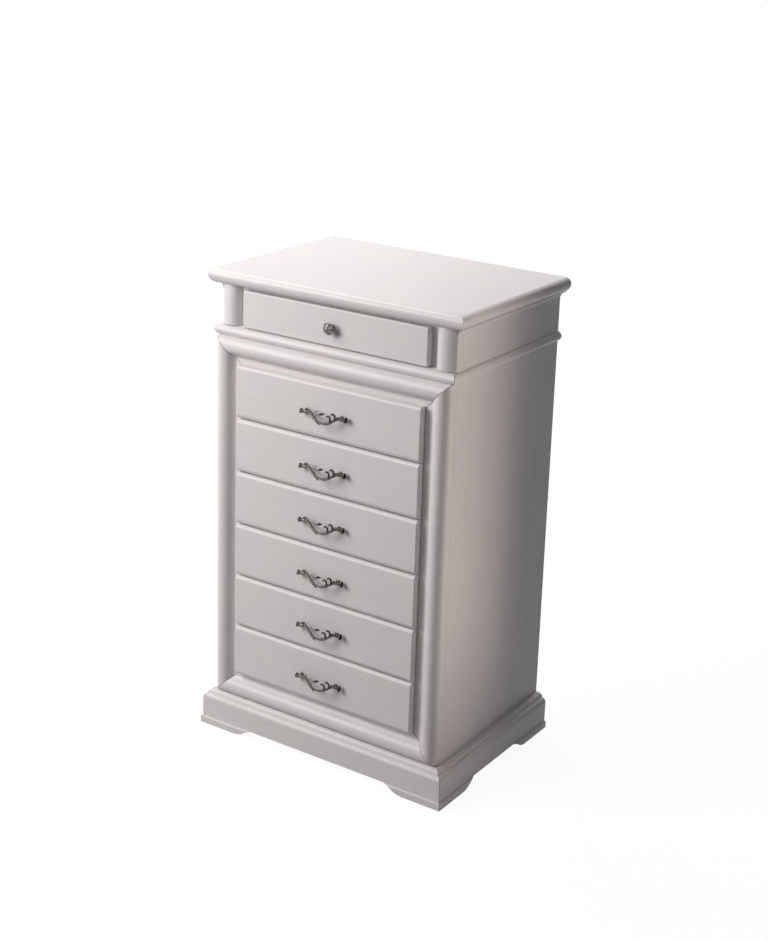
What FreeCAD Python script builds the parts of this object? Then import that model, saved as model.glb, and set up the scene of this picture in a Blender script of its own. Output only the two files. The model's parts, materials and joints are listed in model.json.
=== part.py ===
import FreeCAD, Part
import math
import os
import Sketcher

# A tall narrow chest with one shallow frieze drawer over six equal drawers.
# Frame: +X to the right, +Y to the back, +Z up, millimetres. The origin lies on the floor,
# under the middle of the whole chest, handles included.

Vector = FreeCAD.Vector
LOWER_DRAWERS = 6
RIGHT_ANGLE = 90

SIZES = {
    # Carcass boards
    "case_width": 636,
    "carcass_depth": 444,
    "side_thickness": 20,
    "board_thickness": 18,
    "back_thickness": 6,
    # Plinth, base moulding and feet
    "foot_height": 18,
    "foot_leg": 154,
    "foot_flat": 105,
    "foot_ogee_across": 130,
    "foot_ogee_up": 7,
    "foot_lower_radius": 60,
    "foot_upper_radius": 40,
    "foot_thickness": 26,
    "foot_proud": 4,
    "foot_edge_radius": 3.5,
    "plinth_height": 48,
    "plinth_thickness": 24,
    "plinth_overhang": 28,
    "base_moulding_height": 24,
    "base_moulding_width": 60,
    "base_fillet": 3,
    "base_ovolo_width": 8,
    "base_ovolo_height": 10,
    "base_ovolo_radius": 14,
    "base_step": 2.5,
    "base_bead_width": 6,
    "base_bead_height": 7,
    "base_bead_radius": 10,
    "base_quirk": 2,
    "corner_block": 36,
    # Mitred moulding that frames the six drawers
    "frame_width": 66,
    "frame_edge": 20,
    "frame_crown": 40,
    "frame_crown_across": 21,
    "frame_outer_radius": 21.1,
    "frame_turn_across": 40,
    "frame_turn_height": 29,
    "frame_round_radius": 22,
    "frame_cove_across": 48,
    "frame_lip": 20,
    "frame_cove_radius": 30,
    # Waist moulding between the drawers and the frieze
    "waist_height": 25,
    "waist_overhang": 10,
    "waist_front_reach": 28,
    "waist_underside": 8,
    "waist_tip_height": 11,
    "waist_lower_radius": 14,
    "waist_upper_radius": 13,
    "waist_crest_height": 23,
    # Frieze and its two upright mouldings
    "frieze_height": 96.5,
    "frieze_moulding_width": 50,
    "frieze_edge": 6,
    "frieze_crown": 19,
    "frieze_crown_across": 28,
    "frieze_outer_radius": 36.7,
    "frieze_lip": 4,
    "frieze_inner_radius": 23.7,
    # Top board and the coves under its ends
    "top_thickness": 32,
    "top_overhang": 27,
    "top_underside": 13,
    "top_tip_height": 19,
    "top_lower_radius": 21,
    "top_nose_inset": 11,
    "top_nose_height": 31.4,
    "top_nose_radius": 13,
    "top_quirk": 0.6,
    "cove_size": 16,
    "cove_lip": 1.5,
    "cove_radius": 16,
    # Face frame behind the mouldings
    "stile_clearance": 2,
    "stile_thickness": 20,
    "rail_height": 20,
    "rail_depth": 40,
    "frieze_rail_height": 12,
    # Drawers
    "drawer_pitch": 131,
    "drawer_gap": 2,
    "face_side_lap": 1,
    "face_top_lap": 6.5,
    "face_bottom_lap": 3,
    "face_thickness": 18,
    "face_top_radius": 8,
    "face_bottom_radius": 14,
    "face_end_radius": 2,
    "face_stop_gap": 1,
    "frieze_face_inset": 2,
    "frieze_face_gap": 1.5,
    "frieze_face_top_gap": 8,
    "frieze_face_edge_radius": 2.5,
    "box_inset": 4,
    "frieze_box_inset": 3,
    "box_height": 104,
    "frieze_box_height": 78,
    "box_wall": 12,
    "bottom_thickness": 5,
    "bottom_rise": 8,
    "groove_depth": 5,
    "box_stop_gap": 2,
    "box_rail_gap": 2,
    # Runners and guides
    "runner_width": 22,
    "runner_thickness": 11,
    "guide_height": 24,
    "running_clearance": 0.3,
    "guide_clearance": 1,
    # Bow pulls and the knob
    "pull_projection": 27,
    "pull_centres": 96,
    "pull_length": 128,
    "pull_drop": 2,
    "pull_arm_reach": 9,
    "pull_bow_drop": 14,
    "pull_bar_radius": 3.8,
    "pull_post_radius": 4.8,
    "pull_trumpet_neck": 3.2,
    "pull_trumpet_mouth": 7.6,
    "pull_trumpet_inset": 9,
    "hook_radius": 4,
    "hook_bar_radius": 2,
    "hook_across": 28,
    "hook_spacing": 10,
    "hook_rise": 11,
    "leaf_length": 17,
    "leaf_thickness": 5,
    "leaf_height": 7,
    "leaf_across": 2,
    "leaf_rise": 18,
    "knob_radius": 14.5,
    "knob_plate_radius": 9,
    "knob_plate_thickness": 3,
    "knob_neck_radius": 5,
    "knob_neck_length": 10,
    "knob_projection": 25,
    "knob_dome_radius": 17,
    "knob_back_radius": 11,
    # Pull screws
    "screw_radius": 2,
    "screw_head_radius": 4,
    "screw_head_height": 2.5,
    "screw_engagement": 8,
    "screw_hole_clearance": 0.4,
}

doc = FreeCAD.newDocument("Semainier")
sheet = doc.addObject("Spreadsheet::Sheet", "Sizes")
for row, (alias, number) in enumerate(SIZES.items(), 1):
    sheet.set(f"A{row}", alias)
    sheet.set(f"B{row}", str(number))
    sheet.setAlias(f"B{row}", alias)
doc.recompute()


class Size:
    """A length that keeps its sheet formula beside its number."""

    def __init__(self, number, formula):
        self.number = float(number)
        self.formula = formula

    def __add__(self, other):
        other = as_size(other)
        return Size(self.number + other.number, f"({self.formula} + {other.formula})")

    def __sub__(self, other):
        other = as_size(other)
        return Size(self.number - other.number, f"({self.formula} - {other.formula})")

    def __mul__(self, other):
        other = as_size(other)
        return Size(self.number * other.number, f"({self.formula} * {other.formula})")

    def __truediv__(self, other):
        other = as_size(other)
        return Size(self.number / other.number, f"({self.formula} / {other.formula})")

    def __neg__(self):
        return Size(-self.number, f"(0 - {self.formula})")

    def __radd__(self, other):
        return as_size(other) + self

    def __rsub__(self, other):
        return as_size(other) - self


def as_size(value):
    """A Size for a plain number, and a Size as it is."""
    return value if isinstance(value, Size) else Size(value, str(value))


def root(size):
    """The square root of a Size."""
    return Size(math.sqrt(size.number), f"sqrt({size.formula})")


def in_order(first, second):
    """Two Sizes, the lower first."""
    return (first, second) if first.number < second.number else (second, first)


class Sheet:
    """Reads a driving dimension by its name: S.case_width."""

    def __getattr__(self, name):
        return Size(SIZES[name], f"Sizes.{name}")


S = Sheet()


def bind(item, path, size):
    """Ties one property of an object to the sheet."""
    item.setExpression(path, as_size(size).formula)


def place(item, at, rotation=None):
    """Puts an object's own origin at a point bound to the sheet."""
    if rotation is not None:
        item.Placement = FreeCAD.Placement(Vector(), rotation)
    for axis, size in zip("xyz", at):
        bind(item, f"Placement.Base.{axis}", size)


# ---------------------------------------------------------------- sketches and solids


def centre_of_arc(start, end, radius, turn):
    """Centre of the arc from start to end; turn is 1 anticlockwise and -1 clockwise."""
    chord = end - start
    height = math.sqrt(max(radius**2 - (chord.Length / 2) ** 2, 0))
    side = Vector(-chord.y, chord.x, 0).normalize()
    return (start + end) / 2 + side * height * turn


def line_or_arc(start, end, bend):
    """Geometry from start to end, and the numbers of its first and last point."""
    if bend is None:
        return Part.LineSegment(start, end), 1, 2
    radius, turn = bend[0].number, bend[1]
    centre = centre_of_arc(start, end, radius, turn)
    angles = [math.atan2(p.y - centre.y, p.x - centre.x) for p in (start, end)]
    if turn < 0:
        angles.reverse()
    arc = Part.ArcOfCircle(Part.Circle(centre, Vector(0, 0, 1), radius), *angles)
    return arc, (1 if turn > 0 else 2), (2 if turn > 0 else 1)


def add_sketch(body, plane, points, holes=()):
    """A closed outline on one of the body's own planes.

    A point is (across, up), or (across, up, radius, turn) where an arc arrives at it.
    A hole is (across, up, radius).
    """
    sketch = body.newObject("Sketcher::SketchObject", body.Name + "_outline")
    support = [f for f in body.Origin.OriginFeatures if f.Role == plane][0]
    sketch.AttachmentSupport = (support, [""])
    sketch.MapMode = "FlatFace"
    corners = [tuple(as_size(v) for v in point[:2]) for point in points]
    spots = [Vector(across.number, up.number, 0) for across, up in corners]
    rules, sizes, ends = [], [], []
    for index, start in enumerate(spots):
        follower = (index + 1) % len(spots)
        arrival = points[follower]
        bend = (as_size(arrival[2]), arrival[3]) if len(arrival) == 4 else None
        shape, first, last = line_or_arc(start, spots[follower], bend)
        sketch.addGeometry(shape, False)
        ends.append((first, last))
        if bend:
            rules.append(Sketcher.Constraint("Radius", index, bend[0].number))
            sizes.append(bend[0])
    for index, (first, _) in enumerate(ends):
        for kind, size in zip(("DistanceX", "DistanceY"), corners[index]):
            rules.append(Sketcher.Constraint(kind, -1, 1, index, first, size.number))
            sizes.append(size)
    for across, up, radius in holes:
        across, up, radius = as_size(across), as_size(up), as_size(radius)
        centre = Vector(across.number, up.number, 0)
        circle = sketch.addGeometry(Part.Circle(centre, Vector(0, 0, 1), radius.number), False)
        rules.append(Sketcher.Constraint("DistanceX", -1, 1, circle, 3, across.number))
        rules.append(Sketcher.Constraint("DistanceY", -1, 1, circle, 3, up.number))
        rules.append(Sketcher.Constraint("Radius", circle, radius.number))
        sizes += [across, up, radius]
    for index, (_, last) in enumerate(ends):
        follower = (index + 1) % len(ends)
        joint = Sketcher.Constraint("Coincident", index, last, follower, ends[follower][0])
        rules.append(joint)
    sketch.addConstraint(rules)
    for number, size in enumerate(sizes):
        bind(sketch, f"Constraints[{number}]", size)
    return sketch


def add_pad(body, sketch, length, reverse=False):
    """Extrudes a sketch of the body."""
    pad = body.newObject("PartDesign::Pad", body.Name + "_pad")
    pad.Profile = sketch
    pad.Reversed = reverse
    bind(pad, "Length", length)
    return pad


def add_through_cut(body, sketch):
    """Cuts a sketch through the whole body, both ways from its plane."""
    pocket = body.newObject("PartDesign::Pocket", body.Name + "_cut")
    pocket.Profile = sketch
    pocket.SideType = "Two sides"
    pocket.Type = "ThroughAll"
    pocket.Type2 = "ThroughAll"
    return pocket


def board(name, low, high):
    """A rectangular board between two opposite corners."""
    item = doc.addObject("Part::Box", name)
    for axis, prop in enumerate(("Length", "Width", "Height")):
        bind(item, prop, as_size(high[axis]) - low[axis])
    place(item, low)
    return item


def rod(name, radius, length, at, rotation):
    """A cylinder that starts at a point and follows its turned Z axis."""
    item = doc.addObject("Part::Cylinder", name)
    bind(item, "Radius", radius)
    bind(item, "Height", length)
    place(item, at, rotation)
    return item


def group(name, items, at=(0, 0, 0)):
    """Several solids that make one node, each still a solid of its own."""
    item = doc.addObject("Part::Compound", name)
    item.Links = items
    place(item, at)
    return item


def difference(name, base, tool):
    item = doc.addObject("Part::Cut", name)
    item.Base = base
    item.Tool = tool
    return item


def union(name, items):
    item = doc.addObject("Part::MultiFuse", name)
    item.Shapes = items
    return item


def axes(across, up):
    """Rotation that turns local X to across, local Y to up and local Z along the piece."""
    across, up = Vector(*across), Vector(*up)
    return FreeCAD.Rotation(across, up, across.cross(up), "XYZ")


def shifted(points, across):
    """The same open outline, moved across."""
    return [(across + point[0], *point[1:]) for point in points]


def mirrored(points):
    """The same open outline, walked the other way and mirrored about the upright axis."""
    turned = []
    for index in range(len(points) - 1, -1, -1):
        bend = points[index + 1][2:] if index + 1 < len(points) else ()
        turned.append((-as_size(points[index][0]), points[index][1], *bend))
    return turned


FORWARD = axes((1, 0, 0), (0, 0, 1))
# How far a cut's outline runs past the piece, and how near a plane counts as on it.
MARGIN = 5
TOUCH = 0.01


def moulding(name, profile, length, at, turned, mitre=None, ends=(True, True)):
    """A length of moulding along local Z, with 45 degree mitres where ends says so.

    The profile is measured from the outermost edge inwards (X) and from its seat up (Y).
    Without a mitre both ends are square.
    """
    if mitre is None:
        ends = (False, False)
    body = doc.addObject("PartDesign::Body", name)
    add_pad(body, add_sketch(body, "XY_Plane", profile), length)
    reach = max(as_size(point[0]).number for point in profile) + MARGIN
    if ends[0]:
        waste = [(-MARGIN, -MARGIN), (reach, -MARGIN), (reach, mitre), (mitre, mitre)]
        add_through_cut(body, add_sketch(body, "XZ_Plane", waste))
    if ends[1]:
        waste = [
            (-MARGIN, length + MARGIN),
            (mitre, length - mitre),
            (reach, length - mitre),
            (reach, length + MARGIN),
        ]
        add_through_cut(body, add_sketch(body, "XZ_Plane", waste))
    place(body, at, turned)
    return body


# ---------------------------------------------------------------- main places

total_depth = S.carcass_depth + S.frame_crown + S.pull_projection
back_y = total_depth / 2
front_y = back_y - S.carcass_depth
side_x = S.case_width / 2
inner_x = side_x - S.side_thickness
plinth_z = S.foot_height
base_z = plinth_z + S.plinth_height
case_z = base_z + S.base_moulding_height
drawers_z = case_z + S.frame_width - S.face_bottom_lap
drawers_height = S.drawer_pitch * LOWER_DRAWERS - S.drawer_gap
frame_height = drawers_height + S.frame_width * 2 - S.face_bottom_lap - S.face_top_lap
waist_z = case_z + frame_height
frieze_z = waist_z + S.waist_height
top_z = frieze_z + S.frieze_height
back_front_y = back_y - S.back_thickness
stile_back_y = front_y + S.stile_thickness
rail_back_y = front_y + S.rail_depth
lower_face_x = side_x - S.frame_width + S.face_side_lap
lower_box_x = lower_face_x - S.box_inset
frieze_face_x = lower_face_x - S.frieze_face_inset
frieze_box_x = frieze_face_x - S.frieze_box_inset
lower_stile_x = lower_box_x + S.stile_clearance
frieze_stile_x = frieze_box_x + S.stile_clearance
waist_board_z = frieze_z - S.board_thickness
lower_face_y = front_y - S.frame_crown
frieze_face_y = front_y - S.frieze_crown
lower_box_rise = (S.rail_height - S.drawer_gap) / 2 + S.box_rail_gap
box_end_y = back_front_y - S.box_stop_gap

nodes = []


def node(item):
    """Marks a finished piece: its label names its file."""
    nodes.append(item)
    return item


# ---------------------------------------------------------------- carcass


def make_carcass():
    for side, sign in (("left", -1), ("right", 1)):
        low_x, high_x = in_order(side_x * sign, inner_x * sign)
        low = (low_x, front_y, case_z)
        node(board(f"side_panel_{side}", low, (high_x, back_y, top_z)))
    node(board("back_panel", (-inner_x, back_front_y, case_z), (inner_x, back_y, top_z)))
    low = (-inner_x, front_y, case_z)
    node(board("bottom_board", low, (inner_x, back_front_y, case_z + S.board_thickness)))
    low = (-inner_x, front_y, waist_board_z)
    node(board("waist_board", low, (inner_x, back_front_y, frieze_z)))


def make_face_frame():
    """Stiles, and the rails that part the drawers behind their faces."""
    levels = (
        ("lower", lower_stile_x, case_z + S.board_thickness, waist_board_z),
        ("frieze", frieze_stile_x, frieze_z, top_z),
    )
    stiles = []
    for level, near_x, low_z, high_z in levels:
        for side, sign in (("left", -1), ("right", 1)):
            low_x, high_x = in_order(near_x * sign, inner_x * sign)
            low = (low_x, front_y, low_z)
            stiles.append(board(f"stile_{level}_{side}", low, (high_x, stile_back_y, high_z)))
    node(group("case_stiles", stiles))

    # The rails between two drawers reach forward to stop the faces.
    rails = []
    stop_y = lower_face_y + S.face_thickness + S.face_stop_gap
    for level in range(LOWER_DRAWERS + 1):
        middle = drawers_z - S.drawer_gap / 2 + S.drawer_pitch * level
        low_z, high_z = middle - S.rail_height / 2, middle + S.rail_height / 2
        rail_front_y = stop_y
        if level == 0:
            low_z, rail_front_y = case_z + S.board_thickness, front_y
        if level == LOWER_DRAWERS:
            high_z, rail_front_y = waist_board_z, front_y
        low = (-lower_stile_x, rail_front_y, low_z)
        rails.append(board(f"rail_{level}", low, (lower_stile_x, rail_back_y, high_z)))
    low = (-frieze_stile_x, front_y, top_z - S.frieze_rail_height)
    rails.append(board("rail_frieze", low, (frieze_stile_x, rail_back_y, top_z)))
    node(group("drawer_rails", rails))


def side_strips(name, near_x, low_z, high_z):
    """A strip along each side panel, from the rails to the back."""
    strips = []
    for side, sign in (("left", -1), ("right", 1)):
        low_x, high_x = in_order(near_x * sign, inner_x * sign)
        low = (low_x, rail_back_y, low_z)
        strips.append(board(f"{name}_{side}", low, (high_x, back_front_y, high_z)))
    return strips


def make_runners():
    """Bearers under the drawer sides, and guides beside them."""
    strips = []
    runner_x = lower_box_x - S.runner_width
    guide_x = lower_box_x + S.guide_clearance
    for level in range(LOWER_DRAWERS):
        box_z = drawers_z + S.drawer_pitch * level + lower_box_rise
        runner_z = box_z - S.running_clearance
        low_z = runner_z - S.runner_thickness
        strips += side_strips(f"runner_{level}", runner_x, low_z, runner_z)
        strips += side_strips(f"guide_{level}", guide_x, runner_z, runner_z + S.guide_height)
    guide_x = frieze_box_x + S.guide_clearance
    strips += side_strips("guide_frieze", guide_x, frieze_z, frieze_z + S.guide_height)
    node(group("drawer_runners", strips))


# ---------------------------------------------------------------- plinth and feet


def make_plinth():
    outer_x = side_x + S.plinth_overhang
    outer_y = front_y - S.frame_edge - S.plinth_overhang
    width, depth = outer_x * 2, back_y - outer_y
    ovolo_up = S.base_fillet + S.base_ovolo_height
    bead_across = S.base_ovolo_width + S.base_step + S.base_bead_width
    bead_up = S.base_moulding_height - S.base_quirk
    cap = [
        (0, 0),
        (S.base_moulding_width, 0),
        (S.base_moulding_width, S.base_moulding_height),
        (bead_across + S.base_quirk, S.base_moulding_height),
        (bead_across + S.base_quirk, bead_up),
        (bead_across, bead_up),
        (S.base_ovolo_width + S.base_step, bead_up - S.base_bead_height, S.base_bead_radius, 1),
        (S.base_ovolo_width + S.base_step, ovolo_up),
        (S.base_ovolo_width, ovolo_up),
        (0, S.base_fillet, S.base_ovolo_radius, 1),
    ]
    plank = [
        (0, 0),
        (S.plinth_thickness, 0),
        (S.plinth_thickness, S.plinth_height),
        (0, S.plinth_height),
    ]
    kinds = (
        ("base_moulding", cap, base_z, S.base_moulding_width),
        ("plinth", plank, plinth_z, S.plinth_thickness),
    )
    for kind, profile, z, mitre in kinds:
        front = ((-outer_x, outer_y, z), axes((0, 1, 0), (0, 0, 1)))
        left = ((-outer_x, back_y, z), axes((1, 0, 0), (0, 0, 1)))
        right = ((outer_x, outer_y, z), axes((-1, 0, 0), (0, 0, 1)))
        node(moulding(f"{kind}_front", profile, width, *front, mitre))
        node(moulding(f"{kind}_left", profile, depth, *left, mitre, (False, True)))
        node(moulding(f"{kind}_right", profile, depth, *right, mitre, (True, False)))

    # The back board fits between the side boards and steps up between the cap's ends.
    inside_x = outer_x - S.plinth_thickness
    step_x = outer_x - S.base_moulding_width
    outline = [
        (inside_x, 0),
        (inside_x, S.plinth_height),
        (step_x, S.plinth_height),
        (step_x, S.plinth_height + S.base_moulding_height),
    ]
    back = doc.addObject("PartDesign::Body", "plinth_back")
    sketch = add_sketch(back, "XZ_Plane", outline + mirrored(outline))
    add_pad(back, sketch, S.plinth_thickness)
    place(back, (0, back_y, plinth_z))
    node(back)

    blocks = []
    rows = (
        ("front", outer_y + S.plinth_thickness),
        ("back", back_y - S.plinth_thickness - S.corner_block),
    )
    for side, low_x in (("left", -inside_x), ("right", inside_x - S.corner_block)):
        for row_name, low_y in rows:
            low = (low_x, low_y, plinth_z)
            high = (low_x + S.corner_block, low_y + S.corner_block, base_z)
            blocks.append(board(f"block_{row_name}_{side}", low, high))
    node(group("corner_blocks", blocks))

    foot_x, foot_y = outer_x + S.foot_proud, outer_y - S.foot_proud
    corners = (
        ("foot_front_left", (-foot_x, foot_y, 0)),
        ("foot_front_right", (foot_x, foot_y, 0)),
        ("foot_back_right", (foot_x, back_y, 0)),
        ("foot_back_left", (-foot_x, back_y, 0)),
    )
    for number, (name, at) in enumerate(corners):
        node(foot(name, at, FreeCAD.Rotation(Vector(0, 0, 1), RIGHT_ANGLE * number)))


def foot(name, at, rotation):
    """A low bracket foot: two legs along +X and +Y from the outer corner, with ogee ends."""
    body = doc.addObject("PartDesign::Body", name)
    leg = [
        (0, 0),
        (S.foot_flat, 0),
        (S.foot_ogee_across, S.foot_ogee_up, S.foot_lower_radius, 1),
        (S.foot_leg, S.foot_height, S.foot_upper_radius, -1),
        (0, S.foot_height),
    ]
    add_pad(body, add_sketch(body, "XZ_Plane", leg), S.foot_thickness, reverse=True)
    add_pad(body, add_sketch(body, "YZ_Plane", leg), S.foot_thickness)
    top_z = S.foot_height.number - TOUCH
    round_edges(
        body,
        S.foot_edge_radius,
        lambda box: box.ZMin > top_z and (box.XMax < TOUCH or box.YMax < TOUCH),
    )
    place(body, at, rotation)
    return body


# ---------------------------------------------------------------- mouldings


def make_frame_mouldings():
    """Four mitred lengths in a picture frame around the six drawers."""
    profile = [
        (0, 0),
        (S.frame_width, 0),
        (S.frame_width, S.frame_lip),
        (S.frame_cove_across, S.frame_lip),
        (S.frame_turn_across, S.frame_turn_height, S.frame_cove_radius, -1),
        (S.frame_crown_across, S.frame_crown, S.frame_round_radius, 1),
        (0, S.frame_edge, S.frame_outer_radius, 1),
    ]
    width = S.case_width
    pieces = (
        ("left", frame_height, (-side_x, front_y, waist_z), (1, 0, 0)),
        ("right", frame_height, (side_x, front_y, case_z), (-1, 0, 0)),
        ("top", width, (side_x, front_y, waist_z), (0, 0, -1)),
        ("bottom", width, (-side_x, front_y, case_z), (0, 0, 1)),
    )
    for side, length, at, across in pieces:
        turned = axes(across, (0, -1, 0))
        name = f"frame_moulding_{side}"
        node(moulding(name, profile, length, at, turned, S.frame_width))


def make_waist_mouldings():
    """A rounded nosing: deep across the front, and thin where it runs along the sides."""
    tip_x = side_x + S.waist_overhang
    tip_y = front_y - S.waist_front_reach
    nose = [
        (S.waist_overhang, S.waist_crest_height),
        (0, S.waist_tip_height, S.waist_upper_radius, 1),
        (S.waist_underside, 0, S.waist_lower_radius, 1),
    ]
    front = nose + [(S.waist_front_reach, 0), (S.waist_front_reach, S.waist_height)]
    side = nose + [(S.waist_overhang, 0)]
    width, depth, mitre = tip_x * 2, back_y - tip_y, S.waist_overhang
    at, turned = (-tip_x, tip_y, waist_z), axes((0, 1, 0), (0, 0, 1))
    node(moulding("waist_moulding_front", front, width, at, turned, mitre))
    at, turned = (-tip_x, back_y, waist_z), axes((1, 0, 0), (0, 0, 1))
    node(moulding("waist_moulding_left", side, depth, at, turned, mitre, (False, True)))
    at, turned = (tip_x, tip_y, waist_z), axes((-1, 0, 0), (0, 0, 1))
    node(moulding("waist_moulding_right", side, depth, at, turned, mitre, (True, False)))


def make_frieze_mouldings():
    """The two upright mouldings beside the frieze drawer, rounded like the frame below."""
    width = S.frieze_moulding_width
    profile = [
        (0, 0),
        (width, 0),
        (width, S.frieze_lip),
        (S.frieze_crown_across, S.frieze_crown, S.frieze_inner_radius, 1),
        (0, S.frieze_edge, S.frieze_outer_radius, 1),
    ]
    pieces = (
        ("left", (-side_x, front_y, top_z), (1, 0, 0)),
        ("right", (side_x, front_y, frieze_z), (-1, 0, 0)),
    )
    for side, at, across in pieces:
        name, turned = f"frieze_moulding_{side}", axes(across, (0, -1, 0))
        node(moulding(name, profile, S.frieze_height, at, turned))


# ---------------------------------------------------------------- top board


def make_top():
    """A board with a rounded nose on three edges, square at the back, and two end coves."""
    edge_x = side_x + S.top_overhang
    frieze_front_y = front_y - S.frieze_edge
    edge_y = frieze_front_y - S.top_overhang
    depth = back_y - edge_y
    flat_inset = S.top_nose_inset + S.top_quirk
    nose = [
        (-S.top_underside, 0),
        (0, S.top_tip_height, S.top_lower_radius, 1),
        (-S.top_nose_inset, S.top_nose_height, S.top_nose_radius, 1),
        (-flat_inset, S.top_nose_height),
        (-flat_inset, S.top_thickness),
    ]
    across = doc.addObject("PartDesign::Body", "top_across")
    right_edge = shifted(nose, edge_x)
    section = add_sketch(across, "XZ_Plane", right_edge + mirrored(right_edge))
    add_pad(across, section, depth, reverse=True)
    place(across, (0, edge_y, top_z))
    along = doc.addObject("PartDesign::Body", "top_along")
    outline = [(depth, 0), (depth, S.top_thickness)] + mirrored(nose)
    add_pad(along, add_sketch(along, "YZ_Plane", outline), edge_x * 2)
    place(along, (-edge_x, edge_y, top_z))
    top = doc.addObject("Part::Common", "top_board")
    top.Base = across
    top.Tool = along
    node(top)

    cove = [
        (S.cove_size, 0),
        (S.cove_size, S.cove_size),
        (0, S.cove_size),
        (0, S.cove_size - S.cove_lip),
        (S.cove_size - S.cove_lip, 0, S.cove_radius, -1),
    ]
    cove_x, cove_z = side_x + S.cove_size, top_z - S.cove_size
    pieces = (
        ("left", (-cove_x, back_y, cove_z), (1, 0, 0)),
        ("right", (cove_x, frieze_front_y, cove_z), (-1, 0, 0)),
    )
    for side, at, inward in pieces:
        name, turned = f"top_cove_{side}", axes(inward, (0, 0, 1))
        node(moulding(name, cove, back_y - frieze_front_y, at, turned))


# ---------------------------------------------------------------- drawers

screw_run = S.face_thickness + S.box_wall
screw_hole = S.screw_radius + S.screw_hole_clearance


def panel(name, edge_x, low_z, high_z, y, thickness, holes):
    """An upright board across the drawer, pierced for the pull's screws."""
    body = doc.addObject("PartDesign::Body", name)
    outline = [
        (-edge_x, low_z),
        (edge_x, low_z),
        (edge_x, high_z),
        (-edge_x, high_z),
    ]
    add_pad(body, add_sketch(body, "XZ_Plane", outline, holes), thickness, reverse=True)
    place(body, (0, y, 0))
    return body


def round_edges(body, radius, chosen):
    """Rounds the edges of the body's last feature that the test picks."""
    doc.recompute()
    last = body.Tip
    edges = [
        f"Edge{number}" for number, edge in enumerate(last.Shape.Edges, 1) if chosen(edge.BoundBox)
    ]
    rounding = body.newObject("PartDesign::Fillet", body.Name + "_rounding")
    rounding.Base = (last, edges)
    bind(rounding, "Radius", radius)


def drawer_face(name, edge_x, height, y, top_radius, bottom_radius, holes):
    """The drawer's face: well rounded along its top and bottom, and a little at its ends."""
    body = panel(name, edge_x, as_size(0), height, y, S.face_thickness, holes)
    full_width, end_x = (edge_x * 2).number - TOUCH, edge_x.number - TOUCH
    high_z = height.number - TOUCH
    for radius, edges_z in ((bottom_radius, (-TOUCH, TOUCH)), (top_radius, (high_z, math.inf))):
        round_edges(
            body,
            radius,
            lambda box: box.YMax < TOUCH
            and box.XLength > full_width
            and edges_z[0] < box.ZMin < edges_z[1],
        )
    depth = bottom_radius.number + TOUCH
    round_edges(
        body,
        S.face_end_radius,
        lambda box: box.YMax < depth and box.XLength < TOUCH and abs(box.XMin) > end_x,
    )
    return body


def drawer_box(name, edge_x, face_y, low_z, height, holes):
    """Front, back and two grooved sides, and the bottom that sits in the grooves."""
    wall = S.box_wall
    start_y = face_y + S.face_thickness
    high_z = low_z + height
    front = panel(name + "_front", edge_x, low_z, high_z, start_y, wall, holes)
    walls = [front]
    for side, low_x in (("left", -edge_x), ("right", edge_x - wall)):
        low = (low_x, start_y + wall, low_z)
        walls.append(board(f"{name}_{side}", low, (low_x + wall, box_end_y, high_z)))
    low = (-edge_x + wall, box_end_y - wall, low_z)
    walls.append(board(name + "_back", low, (edge_x - wall, box_end_y, high_z)))
    reach = edge_x - wall + S.groove_depth
    low = (-reach, start_y + wall - S.groove_depth, low_z + S.bottom_rise)
    high = (reach, box_end_y - wall + S.groove_depth, low[2] + S.bottom_thickness)
    bottom = board(name + "_bottom", low, high)
    grooved = [difference(wall.Name + "_grooved", wall, bottom) for wall in walls]
    return grooved, bottom


def drawer(name, pieces, z):
    """One drawer's four nodes, from the shared pieces, at its height."""
    for part, items in pieces.items():
        node(group(f"{name}_{part}", items, (0, 0, z)))


def make_drawers():
    holes_x = S.pull_centres / 2
    height = S.drawer_pitch - S.drawer_gap
    pull_z = height / 2 - S.pull_drop
    holes = [(-holes_x, pull_z, screw_hole), (holes_x, pull_z, screw_hole)]
    radii = (S.face_top_radius, S.face_bottom_radius)
    face = drawer_face("lower_face", lower_face_x, height, lower_face_y, *radii, holes)
    walls, bottom = drawer_box(
        "lower_box", lower_box_x, lower_face_y, lower_box_rise, S.box_height, holes
    )
    pull = [pull_casting("pull", lower_face_y, pull_z)]
    for side, x in (("left", -holes_x), ("right", holes_x)):
        pull.append(screw(f"pull_screw_{side}", x, lower_face_y, pull_z))
    pieces = {"front": [face], "box": walls, "bottom": [bottom], "pull": pull}
    for number in range(1, LOWER_DRAWERS + 1):
        level = LOWER_DRAWERS - number
        drawer(f"drawer_{number}", pieces, drawers_z + S.drawer_pitch * level)

    height = S.frieze_height - S.frieze_face_gap - S.frieze_face_top_gap
    box_rise = S.running_clearance - S.frieze_face_gap
    knob_z = height / 2
    holes = [(0, knob_z, screw_hole)]
    radii = (S.frieze_face_edge_radius, S.frieze_face_edge_radius)
    face = drawer_face("frieze_face", frieze_face_x, height, frieze_face_y, *radii, holes)
    walls, bottom = drawer_box(
        "frieze_box", frieze_box_x, frieze_face_y, box_rise, S.frieze_box_height, holes
    )
    knob = [knob_casting("knob", frieze_face_y, knob_z)]
    knob.append(screw("knob_screw", as_size(0), frieze_face_y, knob_z))
    pieces = {"front": [face], "box": walls, "bottom": [bottom], "knob": knob}
    drawer("frieze_drawer", pieces, frieze_z + S.frieze_face_gap)


# ---------------------------------------------------------------- pulls and knob


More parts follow.
